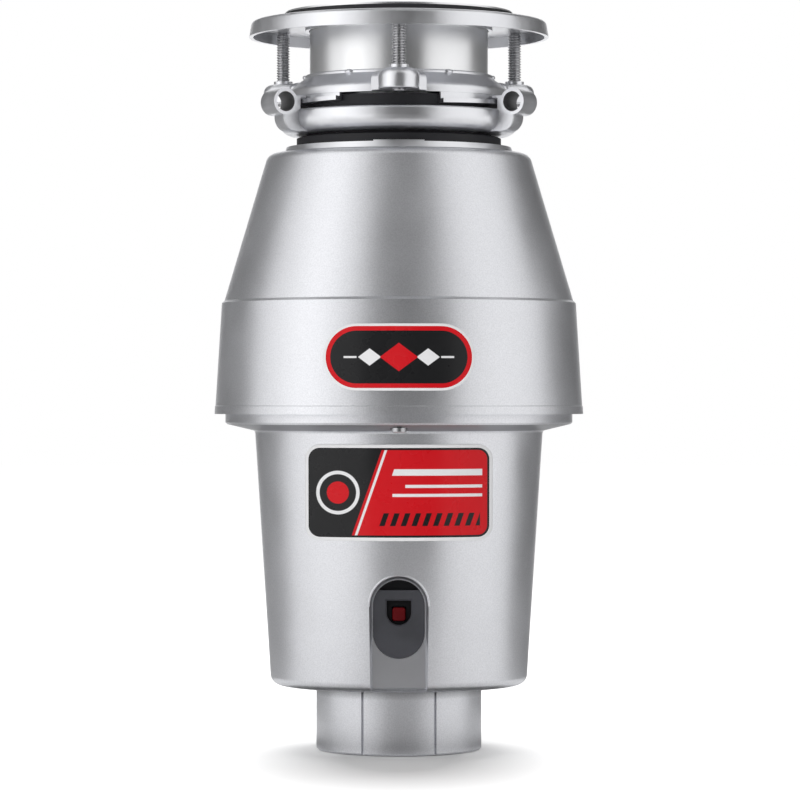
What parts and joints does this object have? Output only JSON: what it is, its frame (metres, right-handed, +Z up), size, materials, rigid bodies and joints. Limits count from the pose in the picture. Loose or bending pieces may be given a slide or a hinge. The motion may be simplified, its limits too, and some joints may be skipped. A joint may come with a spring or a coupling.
{
  "type": "kitchen garbage disposal",
  "caption": "Under-sink kitchen garbage disposal with a twist-lock sink mount, silver upper cover, motor housing with reset button, round foot, and the grinding and drain parts inside.",
  "frame": {"origin": "on the motor axis at the underside of the round foot", "axes": "+Z up along the motor axis to the sink flange, front with the reset button faces -Y, +X to the viewer's right"},
  "size_m": [0.1778, 0.187, 0.355],
  "materials": {
    "silver_paint": "satin metallic paint on a moulded shell",
    "die_cast": "satin die-cast",
    "stainless": "polished",
    "zinc_steel": "bright zinc plate",
    "black_rubber": "matte",
    "dark_plastic": "fine matte grain",
    "container_plastic": "satin glass-filled",
    "red_plastic": "satin",
    "bronze": "sintered, oiled",
    "copper": "enamelled winding",
    "core_steel": "stacked laminations",
    "foam": "open-cell foam",
    "badge_print": "printed film",
    "label_print": "printed film",
    "lead_insulation": "wire insulation"
  },
  "bodies": {
    "housing": {"base_foot": "silver_paint", "terminal_cover": "dark_plastic", "terminal_screws": "zinc_steel", "ground_screw": "zinc_steel", "lower_housing": "silver_paint", "housing_screws": "zinc_steel", "reset_panel": "dark_plastic", "overload_protector": "dark_plastic", "lower_end_frame": "die_cast", "lower_bearing": "bronze", "upper_bearing": "bronze", "stator_core": "core_steel", "stator_windings": "copper", "through_bolts": "zinc_steel", "start_relay": "dark_plastic", "lead_wires": "lead_insulation", "drain_chamber": "die_cast", "shaft_seal": "black_rubber", "shredder_ring": "stainless", "container_gasket": "black_rubber", "grind_container": "container_plastic", "container_screws": "zinc_steel", "sound_insulation": "foam", "upper_cover": "silver_paint", "front_badge": "badge_print", "front_label": "label_print", "top_collar": "die_cast", "cushion_mount": "black_rubber", "upper_mounting_ring": "die_cast", "snap_ring": "stainless", "sink_flange": "stainless"},
    "rotor": {"motor_shaft": "stainless", "rotor_core": "core_steel", "rotor_cage": "die_cast", "thrust_washer": "zinc_steel", "slinger": "black_rubber", "turntable": "stainless", "turntable_nut": "stainless", "impeller_rivets": "stainless"},
    "impeller_left": {"impeller_2": "stainless"},
    "impeller_right": {"impeller_1": "stainless"},
    "lower_ring": {"lower_mounting_ring": "die_cast"},
    "clamp": {"backup_flange": "die_cast", "sink_gasket": "black_rubber"},
    "bolt_1": {"mounting_bolt_1": "zinc_steel"},
    "bolt_2": {"mounting_bolt_2": "zinc_steel"},
    "bolt_3": {"mounting_bolt_3": "zinc_steel"},
    "button": {"reset_button": "red_plastic"},
    "baffle": {"splash_baffle": "black_rubber"}
  },
  "joints": [
    {"name": "motor_spin", "type": "hinge", "parent": "housing", "child": "rotor", "pos_m": [0, 0, 0.11], "axis": [0, 0, 1], "continuous": true},
    {"name": "impeller_right_swing", "type": "hinge", "parent": "rotor", "child": "impeller_right", "pos_m": [0.03836, 0, 0.2138], "axis": [0, 0, 1], "continuous": true},
    {"name": "impeller_left_swing", "type": "hinge", "parent": "rotor", "child": "impeller_left", "pos_m": [-0.03836, 0, 0.2138], "axis": [0, 0, 1], "continuous": true},
    {"name": "lower_ring_turn", "type": "hinge", "parent": "housing", "child": "lower_ring", "pos_m": [0, 0, 0.305], "axis": [0, 0, 1], "range_deg": [-44, 0]},
    {"name": "clamp_slide", "type": "slide", "parent": "housing", "child": "clamp", "axis": [0, 0, 1], "range_m": [-0.014, 0]},
    {"name": "bolt_1_turn", "type": "hinge", "parent": "clamp", "child": "bolt_1", "pos_m": [0, -0.0656, 0.33], "axis": [0, 0, 1], "range_deg": [-3970, 1]},
    {"name": "bolt_2_turn", "type": "hinge", "parent": "clamp", "child": "bolt_2", "pos_m": [0.05681, 0.0328, 0.33], "axis": [0, 0, 1], "range_deg": [-3970, 1]},
    {"name": "bolt_3_turn", "type": "hinge", "parent": "clamp", "child": "bolt_3", "pos_m": [-0.05681, 0.0328, 0.33], "axis": [0, 0, 1], "range_deg": [-3970, 1]},
    {"name": "reset_press", "type": "slide", "parent": "housing", "child": "button", "axis": [0, 1, 0], "range_m": [0, 0.0025], "stiffness_N_per_m": 800},
    {"name": "splash_baffle_lift", "type": "slide", "parent": "housing", "child": "baffle", "axis": [0, 0, 1], "range_m": [0, 0.06]}
  ],
  "couplings": [
    {"joint": "bolt_1_turn", "follows": "clamp_slide", "rad_per_m": 4947.4},
    {"joint": "bolt_2_turn", "follows": "clamp_slide", "rad_per_m": 4947.4},
    {"joint": "bolt_3_turn", "follows": "clamp_slide", "rad_per_m": 4947.4}
  ]
}
